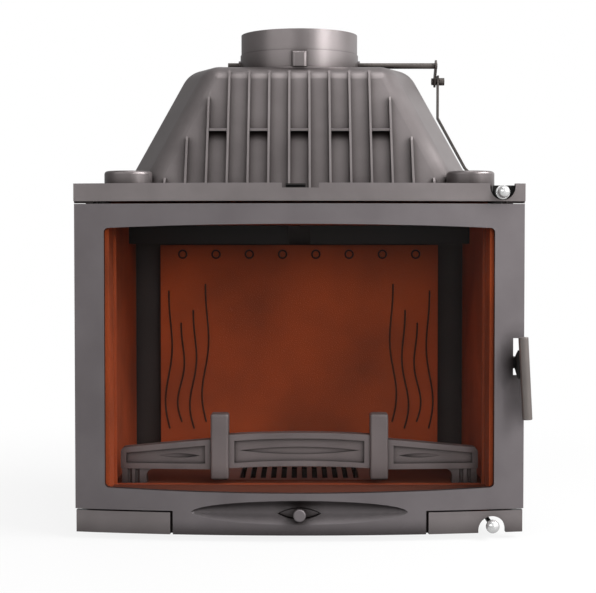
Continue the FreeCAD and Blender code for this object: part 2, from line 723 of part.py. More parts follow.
def smoke_dome():
    outer = dome_shell(0, DOME_TOP, DOME_EDGE_R, DOME_TOP_R)
    inner = dome_shell(DOME_WALL, DOME_TOP - DOME_WALL, DOME_EDGE_R - DOME_WALL, DOME_TOP_R - DOME_WALL)
    seat = rod_z(SEAT_R, DOME_TOP - SEAT_H, DOME_TOP, 0, FLUE_Y)
    ribs = [dome_rib(rib_x(i)) for i in range(RIB_COUNT)]
    webs = [dome_web(i) for i in range(2, RIB_COUNT - 2, 2)]
    boss = rod_z(BOSS_R, DOME_Z, BOSS_TOP, BOSS_X, BOSS_Y)
    boss = boss.makeFillet(BOSS_ROUND, [e for e in boss.Edges if e.BoundBox.ZMin > BOSS_TOP - 0.01])
    shell = cut(join([outer] + both_sides(boss) + ribs + webs + dome_tabs()), [inner])
    flue = rod_z(FLUE_BORE, DOME_TOP - SEAT_H - 1, DOME_TOP + 1, 0, FLUE_Y)
    bolts = [rod_z(BOLT_R, DOME_Z - 1, DOME_Z + TAB_T + 1, x, y) for x, y in dome_bolt_places()]
    return cut(join([shell, seat]), [flue] + bolts + collar_studs())


def dome_seal():
    points = [V(x, y, DECK_TOP) for x, y in dome_outline(DOME_WALL)]
    ring = polygon_prism(points, V(0, 0, SEAL_T))
    gap = box(-GAS_HALF, GAS_HALF, GAS_Y0, GAS_Y1, DECK_TOP - 1, DOME_Z + 1)
    return cut(ring, [gap])


def dome_bolts():
    bolts = []
    for x, y in dome_bolt_places():
        shank = rod_z(BOLT_R, DECK_Z, DOME_Z + TAB_T, x, y)
        head = rod_z(BOLT_HEAD_R, DOME_Z + TAB_T, DOME_Z + TAB_T + BOLT_HEAD_H, x, y)
        washer = rod_z(BOLT_HEAD_R, DECK_TOP, DOME_Z, x, y)
        bolts.append(join([shank, head, washer]))
    return Part.Compound(bolts)


# Flue collar and damper
def collar_bolt_places():
    return [(0, FLUE_Y - STUD_PLACE_R), (0, FLUE_Y + STUD_PLACE_R)]


def collar_studs():
    return [rod_z(STUD_R, DOME_TOP - SEAT_H, DOME_TOP + STUD_RISE, x, y) for x, y in collar_bolt_places()]


def collar_lug():
    lug = box(-LUG_HALF, LUG_HALF, FLUE_Y - LUG_OUT, FLUE_Y - FLUE_BORE, DOME_TOP, DOME_TOP + LUG_H)
    face = FLUE_Y - LUG_OUT + 0.01
    outer = [e for e in lug.Edges if e.BoundBox.YMax < face and e.BoundBox.ZMax > DOME_TOP + 1]
    return lug.makeFillet(LUG_ROUND, outer)


def flue_collar():
    low = rod_z(FLUE_R, DOME_TOP, COLLAR_STEP, 0, FLUE_Y)
    spigot = rod_z(SPIGOT_R, COLLAR_STEP, COLLAR_TOP, 0, FLUE_Y)
    front_lug = collar_lug()
    rear_lug = front_lug.mirror(V(0, FLUE_Y, 0), Y_AXIS)
    ears = rod_x(EAR_BOSS_R, -EAR_BOSS_OUT, EAR_BOSS_OUT, FLUE_Y, SHAFT_Z)
    bore = rod_z(FLUE_BORE, DOME_TOP - 1, COLLAR_TOP + 1, 0, FLUE_Y)
    shaft = rod_x(SHAFT_R + RUN_CLEARANCE, SHAFT_LEFT, SHAFT_RIGHT, FLUE_Y, SHAFT_Z)
    return cut(join([low, spigot, ears, front_lug, rear_lug]), [bore, shaft] + collar_studs())


def collar_bolts():
    bolts = []
    heads = [rod_z(5, DOME_TOP - SEAT_H - 4, DOME_TOP - SEAT_H, x, y) for x, y in collar_bolt_places()]
    for stud, head in zip(collar_studs(), heads):
        bolts.append(join([stud, head]))
    return Part.Compound(bolts)


def damper_shaft():
    shaft = rod_x(SHAFT_R, SHAFT_LEFT, SHAFT_RIGHT, FLUE_Y, SHAFT_Z)
    flat = box(-FLAP_R - 1, FLAP_R + 1, FLUE_Y - 2 * SHAFT_R, FLUE_Y + 2 * SHAFT_R, FLAP_Z, FLAP_Z + 10)
    holes = [rod_z(FLAP_SCREW_R, SHAFT_Z - 3, FLAP_Z + 1, x, FLUE_Y) for x in (-FLAP_SCREW_X, FLAP_SCREW_X)]
    return cut(shaft, [flat] + holes)


def damper_flap():
    disc = rod_z(FLAP_R, FLAP_Z, FLAP_Z + FLAP_T, 0, FLUE_Y)
    strip = box(-FLAP_R, FLAP_R, FLUE_Y - FLAP_HALF, FLUE_Y + FLAP_HALF, FLAP_Z, FLAP_Z + FLAP_T)
    holes = [rod_z(FLAP_SCREW_R, FLAP_Z - 1, FLAP_Z + 10, x, FLUE_Y) for x in (-FLAP_SCREW_X, FLAP_SCREW_X)]
    return cut(disc.common(strip), holes)


def damper_screws():
    screws = []
    for x in (-FLAP_SCREW_X, FLAP_SCREW_X):
        shank = rod_z(FLAP_SCREW_R, SHAFT_Z - 3, FLAP_Z + FLAP_T, x, FLUE_Y)
        head = rod_z(2 * FLAP_SCREW_R, FLAP_Z + FLAP_T, FLAP_Z + FLAP_T + 3, x, FLUE_Y)
        screws.append(join([shank, head]))
    return Part.Compound(screws)


def damper_crank():
    ends = [rod_x(CRANK_R, CRANK_X, CRANK_X + CRANK_T, y, z) for y, z in ((FLUE_Y, SHAFT_Z), (PIN_Y, PIN_Z))]
    side = CRANK_R * math.cos(math.radians(45))
    points = [(FLUE_Y + side, SHAFT_Z + side), (PIN_Y + side, PIN_Z + side),
              (PIN_Y - side, PIN_Z - side), (FLUE_Y - side, SHAFT_Z - side)]
    arm = polygon_prism([V(CRANK_X, y, z) for y, z in points], V(CRANK_T, 0, 0))
    holes = [rod_x(SHAFT_R, CRANK_X - 1, CRANK_X + CRANK_T + 1, FLUE_Y, SHAFT_Z),
             rod_x(PIN_R, CRANK_X - 1, CRANK_X + CRANK_T + 1, PIN_Y, PIN_Z)]
    return cut(join(ends + [arm]), holes)


def crank_bolt():
    near = LINK_UP_X - LINK_T / 2 - LINK_FREE
    far = LINK_UP_X + LINK_T / 2 + LINK_FREE
    shank = rod_x(PIN_R, CRANK_X - 4, far, PIN_Y, PIN_Z)
    washer = rod_x(6, CRANK_X + CRANK_T, near, PIN_Y, PIN_Z)
    nut = rod_x(6, CRANK_X - 4, CRANK_X, PIN_Y, PIN_Z)
    head = rod_x(6.5, far, far + 9, PIN_Y, PIN_Z)
    return join([shank, washer, nut, head])


# A strip of constant thickness along a bent line in the XZ plane
def bent_strip(points, thickness, y0, y1):
    normals = []
    for (xa, za), (xb, zb) in zip(points, points[1:]):
        length = math.hypot(xb - xa, zb - za)
        normals.append(((zb - za) / length, (xa - xb) / length))
    sides = []
    for sign in (1, -1):
        side = []
        for i, (x, z) in enumerate(points):
            before = normals[max(i - 1, 0)]
            after = normals[min(i, len(normals) - 1)]
            middle = (before[0] + after[0], before[1] + after[1])
            scale = sign * thickness / (middle[0] ** 2 + middle[1] ** 2)
            side.append((x + middle[0] * scale, z + middle[1] * scale))
        sides.append(side)
    outline = sides[0] + sides[1][::-1]
    return polygon_prism([V(x, y0, z) for x, z in outline], V(0, y1 - y0, 0))


def damper_link():
    points = [(LINK_UP_X, PIN_Z + 10), (LINK_UP_X, LINK_BEND_Z),
              (LINK_LOW_X - LINK_JOG, STUB_Z + 2 * LINK_FOOT),
              (LINK_LOW_X, STUB_Z + LINK_FOOT), (LINK_LOW_X, STUB_Z - 10)]
    strip = bent_strip(points, LINK_T, PIN_Y - LINK_W / 2, PIN_Y + LINK_W / 2)
    hole = rod_x(PIN_R + RUN_CLEARANCE, LINK_UP_X - LINK_T, LINK_UP_X + LINK_T, PIN_Y, PIN_Z)
    slot = box(LINK_LOW_X - LINK_T, LINK_LOW_X + LINK_T, PIN_Y - SLOT_HALF, PIN_Y + SLOT_HALF,
               STUB_Z - SLOT_DOWN, STUB_Z + SLOT_UP)
    return cut(strip, [hole, slot])


def ball_knob(radius, x, z, disc_r):
    ball = Part.makeSphere(radius, V(x, BALL_Y, z))
    disc = rod_y(disc_r, BALL_Y + radius + 1, BALL_Y + radius + 3.5, x, z)
    neck = rod_y(radius * 0.55, BALL_Y, BALL_Y + radius + 2, x, z)
    bore = rod_y(ROD_R, BALL_Y, BALL_Y + radius + 10, x, z)
    return cut(join([ball, neck, disc]), [bore])


def damper_rod():
    run = rod_y(ROD_R, BALL_Y, PIN_Y, DAMPER_ROD_X, DAMPER_ROD_Z)
    rise = rod_z(ROD_R, DAMPER_ROD_Z, STUB_Z, DAMPER_ROD_X, PIN_Y)
    stub = rod_x(STUB_R, LINK_LOW_X - 5, DAMPER_ROD_X, PIN_Y, STUB_Z)
    turns = [Part.makeSphere(ROD_R, V(DAMPER_ROD_X, PIN_Y, z)) for z in (DAMPER_ROD_Z, STUB_Z)]
    return join([run, rise, stub] + turns)


def damper_rod_guides():
    hole = rod_y(ROD_R + RUN_CLEARANCE, BALL_Y, PIN_Y, DAMPER_ROD_X, DAMPER_ROD_Z)
    wide = LIP_NOTCH_R + 4
    near = bow(DAMPER_ROD_X + wide, LIP_T) + 2
    front = box(DAMPER_ROD_X - 12, DAMPER_ROD_X + wide, near, near + 8, DECK_TOP, LIP_TOP - 2.5)
    back = FLUE_Y - 72
    rear = box(DAMPER_ROD_X - 9, DAMPER_ROD_X + 9, back, back + 8, DECK_TOP, DAMPER_ROD_Z + 8)
    return Part.Compound([cut(front, [hole]), cut(rear, [hole])])


def top_clip():
    back = LIP_T + CLIP_T
    leaf = bow_band(CLIP_LEFT, CLIP_RIGHT, LIP_T, back, DECK_TOP, CLIP_TOP)
    flange = bow_band(CLIP_LEFT, CLIP_RIGHT, CLIP_T, back, CLIP_TOP - CLIP_T, CLIP_TOP)
    return join([leaf, flange])


# Primary air slide under the base
def air_shutter():
    plate = box(SHUTTER_X0, SHUTTER_X1, SHUTTER_Y0, SHUTTER_Y1, SHUTTER_Z - SHUTTER_T, SHUTTER_Z)
    tab = box(AIR_ROD_X - 2 * ROD_R, AIR_ROD_X + 2 * ROD_R, SHUTTER_Y0, SHUTTER_Y0 + 4,
              AIR_ROD_Z - 2 * ROD_R, SHUTTER_Z - SHUTTER_T / 2)
    bore = rod_y(ROD_R, SHUTTER_Y0 - 1, SHUTTER_Y0 + 5, AIR_ROD_X, AIR_ROD_Z)
    return cut(join([plate, tab]), air_slots(AIR_TRAVEL, 0, FOOT_H) + [bore])


def air_pull_rod():
    return rod_y(ROD_R, BALL_Y, SHUTTER_Y0 + 10, AIR_ROD_X, AIR_ROD_Z)


def air_slide_rails():
    low = SHUTTER_Z - SHUTTER_T - FACE_GAP
    y0 = SHUTTER_Y0 - AIR_TRAVEL - 11
    y1 = SHUTTER_Y1 + 8
    rails = []
    for edge, side in ((SHUTTER_X0, -1), (SHUTTER_X1, 1)):
        web_xs = sorted((edge + side * FACE_GAP, edge + side * SLIDE_RAIL_T))
        lip_xs = sorted((edge - side * SLIDE_RAIL_T, edge + side * SLIDE_RAIL_T))
        web = box(web_xs[0], web_xs[1], y0, y1, low, FOOT_H)
        lip = box(lip_xs[0], lip_xs[1], y0, y1, low - 2, low)
        rails.append(join([web, lip]))
    return Part.Compound(rails)


# Door
def opening_tool():
    front = -2 * BOW_DEPTH
    depth = 3 * BOW_DEPTH
    low_left = V(-OPEN_HALF, front, OPEN_LOW_SIDE)
    low_right = V(OPEN_HALF, front, OPEN_LOW_SIDE)
    top_right = V(OPEN_HALF, front, OPEN_TOP_SIDE)
    top_left = V(-OPEN_HALF, front, OPEN_TOP_SIDE)
    low = Part.Arc(low_left, V(0, front, OPEN_LOW_MID), low_right).toShape()
    top = Part.Arc(top_right, V(0, front, OPEN_TOP_MID), top_left).toShape()
    wire = Part.Wire([low, Part.makeLine(low_right, top_right), top, Part.makeLine(top_left, low_left)])
    prism = Part.Face(wire).extrude(V(0, depth, 0))
    corners = [e for e in prism.Edges if abs(e.BoundBox.YLength - depth) < 0.1]
    return prism.makeFillet(OPEN_CORNER_R, corners)


# Depth of the scoop from its roof (0) to its lower rim (1): steep above, fading into the face below
def scoop_depth(t):
    fade = 1 / EYE_DEEPEST - 1
    return EYE_DEPTH * t * (1 - t) ** fade / (EYE_DEEPEST * (1 - EYE_DEEPEST) ** fade)


def scoop_station(angle):
    share = math.cos(angle)
    x = EYE_HALF * math.sin(angle)
    front = bow(x) - EYE_RIM
    points = []
    for i in range(EYE_STEPS + 1):
        t = i / EYE_STEPS
        points.append(V(x, front + share * scoop_depth(t), EYE_Z + EYE_HALF_H * share * (1 - 2 * t)))
    curve = Part.BSplineCurve()
    curve.interpolate(points)
    outside = [V(x, front - 2, p.z) for p in (points[-1], points[0])]
    lid = Part.makePolygon([points[-1]] + outside + [points[0]])
    return Part.Wire([curve.toShape()] + lid.Edges)


def scoop_tool():
    angles = [EYE_END_ANGLE * (2 * i / EYE_STATIONS - 1) for i in range(EYE_STATIONS + 1)]
    return Part.makeLoft([scoop_station(angle) for angle in angles], True, True)


def lens_prism(half, half_h, x, y0, y1, z):
    left = V(x - half, y0, z)
    right = V(x + half, y0, z)
    up = Part.Arc(left, V(x, y0, z + half_h), right).toShape()
    low = Part.Arc(right, V(x, y0, z - half_h), left).toShape()
    return Part.Face(Part.Wire([up, low])).extrude(V(0, y1 - y0, 0))


def ring_near():
    return DOOR_T + GASKET_T + GLASS_T


def ear_places():
    return [(x, z) for x in (-EAR_X, EAR_X) for z in (EAR_LOW, EAR_HIGH)]


def ear_screw(x, z):
    seat = bow(x, ring_near() + EAR_T)
    shank = rod_y(2.5, bow(x) + DOOR_T / 2, seat, x, z)
    head = rod_y(5, seat, seat + 3, x, z)
    return join([shank, head])


def door_frame():
    plate = bow_band(-DOOR_HALF, DOOR_HALF, 0, DOOR_T, DOOR_BOTTOM, DOOR_TOP)
    tongue = bow_band(-TONGUE_HALF, TONGUE_HALF, 0, DOOR_T, TONGUE_BOTTOM, DOOR_BOTTOM + 5)
    pad = bow_band(-PAD_HALF, PAD_HALF, DOOR_T / 2, PAD_T, PAD_LOW, LOWER_BOSS_TOP)
    bosses = []
    for x in (HINGE_X, -HINGE_X):
        root = (x - HINGE_BOSS_R, x + HINGE_BOSS_R, bow(x) + DOOR_T / 2, HINGE_Y)
        bosses.append(rod_z(HINGE_BOSS_R, UPPER_BOSS_LOW, DOOR_TOP + HINGE_PAD, x, HINGE_Y))
        bosses.append(rod_z(HINGE_BOSS_R, DOOR_BOTTOM, LOWER_BOSS_TOP, x, HINGE_Y))
        bosses.append(box(*root, UPPER_BOSS_LOW, DOOR_TOP))
        bosses.append(box(*root, DOOR_BOTTOM, LOWER_BOSS_TOP))
    pivot = rod_x(PIVOT_BOSS_R, NOTCH_X - PIVOT_BOSS_L, NOTCH_X, PIVOT_Y, PIVOT_Z)
    body = join([plate, tongue, pad, pivot] + bosses)
    notch = box(NOTCH_X, HALF_WIDTH + 1, -BOW_DEPTH, BOW_DEPTH, NOTCH_LOW, NOTCH_TOP)
    leaf = lens_prism(LEAF_HOLE_HALF, LEAF_HOLE_HALF_H, 0, -2 * BOW_DEPTH, PAD_T, VALVE_Z)
    bores = [rod_z(BUSH_R, UPPER_BOSS_LOW - 1, DOOR_TOP + HINGE_PAD + 1, HINGE_X, HINGE_Y),
             rod_z(BUSH_R, DOOR_BOTTOM - 1, LOWER_BOSS_TOP + 1, HINGE_X, HINGE_Y)]
    screws = [ear_screw(x, z) for x, z in ear_places()]
    return cut(body, [opening_tool(), scoop_tool(), notch, leaf, pivot_pin_shank()] + bores + screws)


def hinge_bushes():
    bushes = []
    for low, top in ((UPPER_BOSS_LOW, DOOR_TOP + HINGE_PAD), (DOOR_BOTTOM, LOWER_BOSS_TOP)):
        sleeve = rod_z(BUSH_R, low, top, HINGE_X, HINGE_Y)
        bore = rod_z(HINGE_PIN_R + RUN_CLEARANCE, low - 1, top + 1, HINGE_X, HINGE_Y)
        bushes.append(cut(sleeve, [bore]))
    return Part.Compound(bushes)


def door_glass():
    return bow_band(-GLASS_HALF, GLASS_HALF, DOOR_T + GASKET_T, ring_near(), GLASS_LOW, GLASS_TOP)


def glass_gasket():
    band = bow_band(-GLASS_HALF, GLASS_HALF, DOOR_T, DOOR_T + GASKET_T, GLASS_LOW, GLASS_TOP)
    return cut(band, [opening_tool()])


def ear(x, z):
    near = ring_near()
    sign = math.copysign(1, x)
    plate = sorted((sign * (RING_OUT - 1), x + sign * 6))
    foot = sorted((x - sign * 4, x + sign * 6))
    return [bow_band(plate[0], plate[1], near, near + EAR_T, z - EAR_HALF, z + EAR_HALF),
            bow_band(foot[0], foot[1], DOOR_T, near + EAR_T, z - EAR_HALF, z + EAR_HALF)]


def door_inner_frame():
    block = bow_block(-RING_OUT, RING_OUT, ring_near(), RING_BACK, RING_LOW, RING_TOP)
    hollow = box(-RING_IN, RING_IN, -BOW_DEPTH, RING_BACK + 1, RING_LOW + RING_WALL, RING_TOP - RING_WALL)
    ears = [piece for x, z in ear_places() for piece in ear(x, z)]
    screws = [ear_screw(x, z) for x, z in ear_places()]
    return cut(join([cut(block, [hollow])] + ears), screws)


def inner_frame_screws():
    return Part.Compound([ear_screw(x, z) for x, z in ear_places()])


def door_rope_seal():
    outer = box(1 - RING_OUT, RING_OUT - 1, RING_BACK, JAMB_Y - FACE_GAP, RING_LOW + 1, RING_TOP - 1)
    inner = box(-RING_IN - 1, RING_IN + 1, 0, JAMB_Y, RING_LOW + RING_WALL - 1, RING_TOP - RING_WALL + 1)
    return cut(outer, [inner])


# Air valve in the tongue
def air_valve_leaf():
    leaf = lens_prism(LEAF_HALF, LEAF_HALF_H, 0, VALVE_LEAF_Y, VALVE_LEAF_Y + VALVE_LEAF_T, VALVE_Z)
    return cut(leaf, [air_valve_stem()])


def air_valve_knob():
    knob = rod_y(VALVE_KNOB_R, VALVE_KNOB_Y, VALVE_KNOB_Y + VALVE_KNOB_L, 0, VALVE_Z)
    knob = knob.makeFillet(2.5, [e for e in knob.Edges if e.BoundBox.YLength < 0.01])
    return cut(knob, [air_valve_stem()])


def air_valve_stem():
    return rod_y(VALVE_STEM_R, VALVE_KNOB_Y + VALVE_KNOB_L / 2, VALVE_STEM_END, 0, VALVE_Z)


def air_valve_stop():
    nut = rod_y(VALVE_STEM_R + 3.5, VALVE_STOP_Y, VALVE_STOP_Y + VALVE_STOP_T, 0, VALVE_Z)
    return cut(nut, [air_valve_stem()])


def air_valve_guide():
    back = VALVE_GUIDE_Y + VALVE_GUIDE_T
    half = 2 * VALVE_STEM_R
    leg = bow_block(VALVE_GUIDE_HALF - 8, VALVE_GUIDE_HALF, PAD_T, back, VALVE_Z - half, VALVE_Z + half)
    bridge = box(-VALVE_GUIDE_HALF, VALVE_GUIDE_HALF, VALVE_GUIDE_Y, back, VALVE_Z - half, VALVE_Z + half)
    hole = rod_y(VALVE_STEM_R + RUN_CLEARANCE, VALVE_GUIDE_Y - 1, back + 1, 0, VALVE_Z)
    return cut(join(both_sides(leg) + [bridge]), [hole])


# Handle
def pivot_pin_shank():
    return rod_x(PIVOT_R, NOTCH_X - PIVOT_BOSS_L + 2, LEVER_END + 0.5, PIVOT_Y, PIVOT_Z)


def handle_pivot_pin():
    head = rod_x(PIVOT_R + 2.5, LEVER_END + 0.5, LEVER_END + 3, PIVOT_Y, PIVOT_Z)
    return join([pivot_pin_shank(), head])


def grip_bar():
    tilt = math.radians(GRIP_TILT)
    length = (GRIP_TOP - GRIP_LOW) / math.cos(tilt) - 2 * GRIP_R * math.sin(tilt)
    bar = rod_z(GRIP_R, -length / 2, length / 2, 0, 0)
    bar = bar.makeFillet(1.0, [e for e in bar.Edges if e.BoundBox.ZLength < 0.01])
    bar.rotate(V(0, 0, 0), Y_AXIS, -GRIP_TILT)
    bar.translate(V(GRIP_MID_X, GRIP_MID_Y, (GRIP_LOW + GRIP_TOP) / 2))
    return bar


def grip_screw():
    back = GRIP_FOOT_Y + GRIP_FOOT_T
    shank = rod_y(2.5, GRIP_MID_Y, back, GRIP_SCREW_X, PIVOT_Z)
    head = rod_y(4.5, back, back + 3, GRIP_SCREW_X, PIVOT_Z)
    return join([shank, head])


def handle_grip():
    return cut(grip_bar(), [grip_screw()])


def handle_lever():
    hub = rod_x(PIVOT_BOSS_R, NOTCH_X + 0.5, LEVER_END, PIVOT_Y, PIVOT_Z)
    gusset = [(GRIP_FOOT_Y, -ARM_GRIP_HALF), (PIVOT_Y, -ARM_ROOT_HALF),
              (PIVOT_Y, ARM_ROOT_HALF), (GRIP_FOOT_Y, ARM_GRIP_HALF)]
    arm = polygon_prism([V(LEVER_X, y, PIVOT_Z + z) for y, z in gusset], V(LEVER_T, 0, 0))
    foot = box(LEVER_X, LEVER_X + 16, GRIP_FOOT_Y, GRIP_FOOT_Y + GRIP_FOOT_T, PIVOT_Z - 10, PIVOT_Z + 10)
    nose = box(LEVER_X, LEVER_END, PIVOT_Y, NOSE_Y, PIVOT_Z - NOSE_HALF, PIVOT_Z + NOSE_HALF)
    bore = rod_x(PIVOT_R + RUN_CLEARANCE, NOTCH_X, LEVER_END + 1, PIVOT_Y, PIVOT_Z)
    return cut(join([hub, arm, foot, nose]), [bore, grip_bar(), grip_screw()])


def latch_keeper():
    out = KEEPER_X + KEEPER_T
    low = PIVOT_Z - KEEPER_HALF
    block = box(KEEPER_X, out, KEEPER_Y, JAMB_Y, low, PIVOT_Z + KEEPER_HALF)
    ramp = box(KEEPER_X, out, KEEPER_Y, KEEPER_Y + 6, low, PIVOT_Z - 4)
    return cut(block, [ramp])


# Log guard
def guard_y(x):
    return GUARD_Y + GUARD_BOW * (abs(x) / GUARD_HALF) ** 2


def bar_face(half, low, top, y):
    low_left = V(-half, y, low)
    low_right = V(half, y, low)
    top_right = V(half, y, top)
    top_left = V(-half, y, top)
    under = Part.Arc(low_left, V(0, y, low + BAR_ARCH), low_right).toShape()
    over = Part.Arc(top_right, V(0, y, top + BAR_ARCH), top_left).toShape()
    wire = Part.Wire([under, Part.makeLine(low_right, top_right), over, Part.makeLine(top_left, low_left)])
    return Part.Face(wire)


def guard_bar():
    y = guard_y(POST_X * 0.7)
    bar = bar_face(POST_X, BAR_LOW, BAR_TOP, y).extrude(V(0, GUARD_D, 0))
    panel_half = POST_X - POST_W / 2 - PANEL_EDGE
    panel_face = bar_face(panel_half, BAR_LOW + PANEL_EDGE, BAR_TOP - PANEL_EDGE, y - 1)
    panel = panel_face.extrude(V(0, PANEL_DEPTH + 1, 0))
    leaf_z = (BAR_LOW + BAR_TOP + BAR_ARCH) / 2
    leaf_half = panel_half - BAR_LEAF_MARGIN
    leaf = lens_prism(leaf_half, BAR_LEAF_HALF_H, 0, y, y + PANEL_DEPTH + LEAF_CUT, leaf_z)
    return cut(bar, [panel, leaf])


def guard_post():
    y = guard_y(POST_X) - POST_PROUD
    half = POST_W / 2
    post = box(POST_X - half, POST_X + half, y, y + GUARD_D + POST_PROUD, POST_LOW, POST_TOP)
    return post.makeFillet(POST_ROUND, [e for e in post.Edges if e.BoundBox.YMin < y + 1])


def arm_share(x):
    return (x - POST_X) / (GUARD_HALF - POST_X)


def arm_slab(x0, x1, inset, near, far):
    loops = []
    for x in (x0, x1):
        y = guard_y(POST_X) + arm_share(x) * (guard_y(GUARD_HALF) - guard_y(POST_X))
        low = ARM_UNDER + inset
        top = ARM_IN_TOP + arm_share(x) * (ARM_OUT_TOP - ARM_IN_TOP) - inset
        points = [V(x, y + near, low), V(x, y + far, low), V(x, y + far, top), V(x, y + near, top)]
        loops.append(Part.makePolygon(points + points[:1]))
    return Part.makeLoft(loops, True, True)


def guard_arm():
    panel_in = POST_X + POST_W / 2 + PANEL_EDGE
    panel_out = GUARD_HALF - PANEL_EDGE
    panel = arm_slab(panel_in, panel_out, PANEL_EDGE, -1, PANEL_DEPTH)
    x = panel_in + PANEL_EDGE + ARM_LEAF_HALF
    y = guard_y(POST_X) + arm_share(x) * (guard_y(GUARD_HALF) - guard_y(POST_X))
    leaf_z = (ARM_UNDER + ARM_OUT_TOP) / 2 + PANEL_EDGE / 2
    leaf = lens_prism(ARM_LEAF_HALF, ARM_LEAF_HALF_H, x, y, y + PANEL_DEPTH + LEAF_CUT, leaf_z)
    slab = arm_slab(POST_X, GUARD_HALF, 0, 0, GUARD_D)
    corner = [e for e in slab.Edges if e.BoundBox.XMin > GUARD_HALF - 1 and e.BoundBox.ZMin > ARM_OUT_TOP - 1]
    return cut(slab.makeFillet(ARM_ROUND, corner), [panel, leaf])


def guard_claw():
    y0 = JAMB_BACK + 1
    y1 = y0 + GUARD_D
    loops = []
    for z, flare in ((HEARTH_TOP, CLAW_FLARE), (ARM_UNDER + PANEL_EDGE / 2, 0)):
        inner = CLAW_IN - flare
        points = [V(inner, y0, z), V(CLAW_OUT, y0, z), V(CLAW_OUT, y1, z), V(inner, y1, z)]
        loops.append(Part.makePolygon(points + points[:1]))
    claw = Part.makeLoft(loops, True, True)
    third = (CLAW_OUT - CLAW_IN) / 3
    grooves = [rod_z(CLAW_GROOVE_R, HEARTH_TOP - 1, ARM_UNDER, CLAW_IN + third * n, y0) for n in (1, 2)]
    return cut(claw, grooves)


def claw_arch():
    y0 = JAMB_BACK + 1
    y1 = y0 + GUARD_D - PANEL_DEPTH
    x = CLAW_IN - CLAW_FLARE / 2 - CLAW_ARCH_R
    z = ARM_UNDER - CLAW_ARCH_R
    block = box(x, CLAW_IN + 2, y0, y1, z, ARM_UNDER + 2)
    return cut(block, [rod_y(CLAW_ARCH_R, y0 - 1, y1 + 1, x, z)])


def log_guard():
    solids = [guard_bar()]
    for solid in (guard_post(), guard_arm(), guard_claw(), claw_arch()):
        solids += both_sides(solid)
    return join(solids)


def build():
    os.makedirs("parts", exist_ok=True)
    save("base_plate", base_plate())
    save("support_feet", support_feet())
    save("right_side_wall", side_wall())
    save("left_side_wall", flip_x(side_wall()))
    save("rear_wall", rear_wall())
    save("front_frame", front_frame())
    save("left_corner_strip", left_corner_strip())
    save("right_corner_strip", right_corner_strip())
    save("top_plate", top_plate())
    save("tie_rods", tie_rods())
    save("hinge_pins", hinge_pins())
    save("right_liner", side_liner())
    save("left_liner", flip_x(side_liner()))
    save("fire_back_plate", fire_back_plate())
    save("hearth_plate", hearth_plate())
    save("fire_grate", fire_grate())
    save("ash_pan", ash_pan())
    save("baffle_rails", baffle_rails())
    save("baffle_plates", baffle_plates())
    save("smoke_dome", smoke_dome())
    save("dome_seal", dome_seal())
    save("dome_bolts", dome_bolts())
    save("flue_collar", flue_collar())
    save("collar_bolts", collar_bolts())
    save("damper_shaft", damper_shaft())
    save("damper_flap", damper_flap())
    save("damper_screws", damper_screws())
    save("damper_crank", damper_crank())
    save("crank_bolt", crank_bolt())
    save("damper_link", damper_link())
    save("damper_rod", damper_rod())
    save("damper_ball_knob", ball_knob(DAMPER_BALL_R, DAMPER_ROD_X, DAMPER_ROD_Z, DAMPER_DISC_R))
    save("damper_rod_guides", damper_rod_guides())
    save("top_clip", top_clip())
    save("air_shutter", air_shutter())
    save("air_pull_rod", air_pull_rod())
    save("air_ball_knob", ball_knob(AIR_BALL_R, AIR_ROD_X, AIR_ROD_Z, AIR_DISC_R))
    save("air_slide_rails", air_slide_rails())
    save("door_frame", door_frame())
    save("hinge_bushes", hinge_bushes())
    save("door_glass", door_glass())
    save("glass_gasket", glass_gasket())
    save("door_inner_frame", door_inner_frame())
    save("inner_frame_screws", inner_frame_screws())
    save("door_rope_seal", door_rope_seal())
    save("handle_pivot_pin", handle_pivot_pin())
    save("air_valve_leaf", air_valve_leaf())
    save("air_valve_knob", air_valve_knob())
    save("air_valve_stem", air_valve_stem())
    save("air_valve_stop", air_valve_stop())
    save("air_valve_guide", air_valve_guide())
    save("handle_lever", handle_lever())
    save("handle_grip", handle_grip())
    save("grip_screw", grip_screw())
    save("latch_keeper", latch_keeper())
    save("log_guard", log_guard())


build()
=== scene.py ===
import bpy
import json
import math
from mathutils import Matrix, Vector


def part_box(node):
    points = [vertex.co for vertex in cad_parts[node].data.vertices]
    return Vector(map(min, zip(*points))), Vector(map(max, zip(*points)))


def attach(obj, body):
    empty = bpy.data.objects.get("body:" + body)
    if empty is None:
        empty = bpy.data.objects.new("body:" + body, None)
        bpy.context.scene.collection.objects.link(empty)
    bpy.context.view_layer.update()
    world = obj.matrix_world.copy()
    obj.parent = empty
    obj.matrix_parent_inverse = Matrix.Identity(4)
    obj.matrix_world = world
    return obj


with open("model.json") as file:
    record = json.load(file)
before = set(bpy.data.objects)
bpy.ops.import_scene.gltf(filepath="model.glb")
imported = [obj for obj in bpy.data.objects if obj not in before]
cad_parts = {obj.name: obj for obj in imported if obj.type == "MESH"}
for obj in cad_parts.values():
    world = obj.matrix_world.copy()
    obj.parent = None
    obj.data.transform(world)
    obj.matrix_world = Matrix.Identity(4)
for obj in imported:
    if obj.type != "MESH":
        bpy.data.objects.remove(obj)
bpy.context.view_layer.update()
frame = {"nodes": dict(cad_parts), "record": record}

# Camera, read from the photo's perspective (metres, degrees, and millimetres for the lens)
CAMERA_X = -0.0022
CAMERA_Y = -2.547
CAMERA_Z = 0.4586
CAMERA_PITCH = 2.0
CAMERA_LENS = 91.57
CAMERA_SENSOR = 36

# Edge rounding of the castings
EDGE_ROUND = 0.0012
WIDE_ROUND = {"log_guard": 0.0028, "flue_collar": 0.002}
EDGE_SEGMENTS = 2
WIDE_SEGMENTS = 3
EDGE_ANGLE = 40
UNROUNDED = {"door_glass", "glass_gasket", "dome_seal", "door_rope_seal"}

